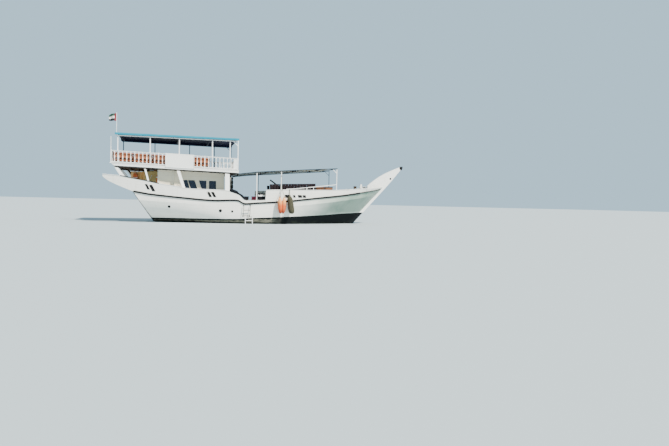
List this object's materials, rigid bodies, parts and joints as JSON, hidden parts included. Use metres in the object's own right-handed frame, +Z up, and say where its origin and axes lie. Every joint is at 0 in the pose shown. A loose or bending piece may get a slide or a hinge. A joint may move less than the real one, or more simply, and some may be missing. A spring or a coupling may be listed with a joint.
{
  "type": "motor tour dhow",
  "caption": "Broad wooden-form motor tour dhow with a raked stem, a cabin, a railed upper deck under a flat canopy and a foredeck awning; rudder, helm wheel, propeller, door and hatch move.",
  "frame": {"origin": "on the centreline at the water surface, halfway along the waterline", "axes": "+X towards the bow, +Y to port, +Z up"},
  "size_m": [23.11, 6.1205, 9],
  "materials": {
    "hull_white": "gloss paint over planks",
    "boot_black": "matt bottom paint",
    "trim_dark": "gloss paint",
    "deck_planks": "scrubbed planks",
    "cabin_cream": "satin paint",
    "fitting_white": "gloss paint",
    "sign_white": "plain, blank",
    "varnished_wood": "varnish",
    "window_glass": "dark tint",
    "canopy_canvas": "coated canvas",
    "awning_canvas": "coated canvas",
    "cushion_terracotta": "woven",
    "cushion_dark": "woven",
    "flag_cloth": "light weave",
    "propeller_bronze": "dull bronze",
    "engine_grey": "painted",
    "ladder_metal": "satin",
    "fender_orange": "worn",
    "fender_rope": "tarred rope",
    "lifebuoy_orange": "matt with pale bands"
  },
  "bodies": {
    "boat": {"hull": "hull_white", "keel_and_sternpost": "boot_black", "stempost": "hull_white", "bulwark_starboard": "hull_white", "bulwark_port": "hull_white", "transom_board": "hull_white", "rub_rail_starboard": "trim_dark", "rub_rail_port": "trim_dark", "main_deck": "deck_planks", "engine_block": "engine_grey", "cabin_side_starboard": "cabin_cream", "cabin_side_port": "cabin_cream", "cabin_front": "cabin_cream", "cabin_aft": "cabin_cream", "cabin_glass_starboard": "window_glass", "cabin_glass_port": "window_glass", "cabin_glass_front": "window_glass", "helm_console": "varnished_wood", "upper_deck": "fitting_white", "deck_pillars_starboard": "fitting_white", "deck_pillars_port": "fitting_white", "upper_rail_starboard": "fitting_white", "upper_rail_port": "fitting_white", "upper_rail_aft": "fitting_white", "upper_rail_front": "fitting_white", "sign_board": "sign_white", "canopy_posts_starboard": "fitting_white", "canopy_posts_port": "fitting_white", "canopy_ridge": "fitting_white", "canopy_cover": "canopy_canvas", "awning_posts_starboard": "fitting_white", "awning_posts_port": "fitting_white", "awning_ridge": "fitting_white", "awning_cover": "awning_canvas", "fore_bench_starboard": "varnished_wood", "fore_bench_port": "varnished_wood", "fore_cushions_starboard": "cushion_dark", "fore_cushions_port": "cushion_dark", "upper_cushions_starboard": "cushion_terracotta", "upper_cushions_port": "cushion_terracotta", "samson_post": "fitting_white", "flagstaff": "fitting_white", "flag": "flag_cloth", "boarding_ladder": "ladder_metal", "orange_fenders": "fender_orange", "rope_fender": "fender_rope", "deck_stairs": "varnished_wood", "lifebuoy": "lifebuoy_orange", "galley_locker": "varnished_wood", "gang_seat": "cushion_dark"},
    "rudder": {"rudder": "boot_black"},
    "helm_wheel": {"helm_wheel": "varnished_wood"},
    "propeller": {"propeller": "propeller_bronze"},
    "cabin_door": {"cabin_door": "varnished_wood"},
    "engine_hatch": {"engine_hatch_cover": "deck_planks"}
  },
  "joints": [
    {"name": "rudder_swing", "type": "hinge", "parent": "boat", "child": "rudder", "pos_m": [-7.7014, 0, 0], "axis": [-0.5634, 0, 0.8262], "range_deg": [-35, 35]},
    {"name": "helm_wheel_turn", "type": "hinge", "parent": "boat", "child": "helm_wheel", "pos_m": [-3.47, -0.55, 2.0376], "axis": [1, 0, 0], "range_deg": [-430, 430]},
    {"name": "propeller_spin", "type": "hinge", "parent": "boat", "child": "propeller", "pos_m": [-6.33, 0, -0.85], "axis": [1, 0, 0], "continuous": true},
    {"name": "cabin_door_hinge", "type": "hinge", "parent": "boat", "child": "cabin_door", "pos_m": [-2.8425, 1.25, 2.2], "axis": [0, 0, 1], "range_deg": [0, 100]},
    {"name": "engine_hatch_hinge", "type": "hinge", "parent": "boat", "child": "engine_hatch", "pos_m": [-2.4, 0, 1.3056], "axis": [0, -1, 0], "range_deg": [0, 85]}
  ],
  "couplings": [
    {"joint": "helm_wheel_turn", "follows": "rudder_swing", "ratio": 12}
  ]
}
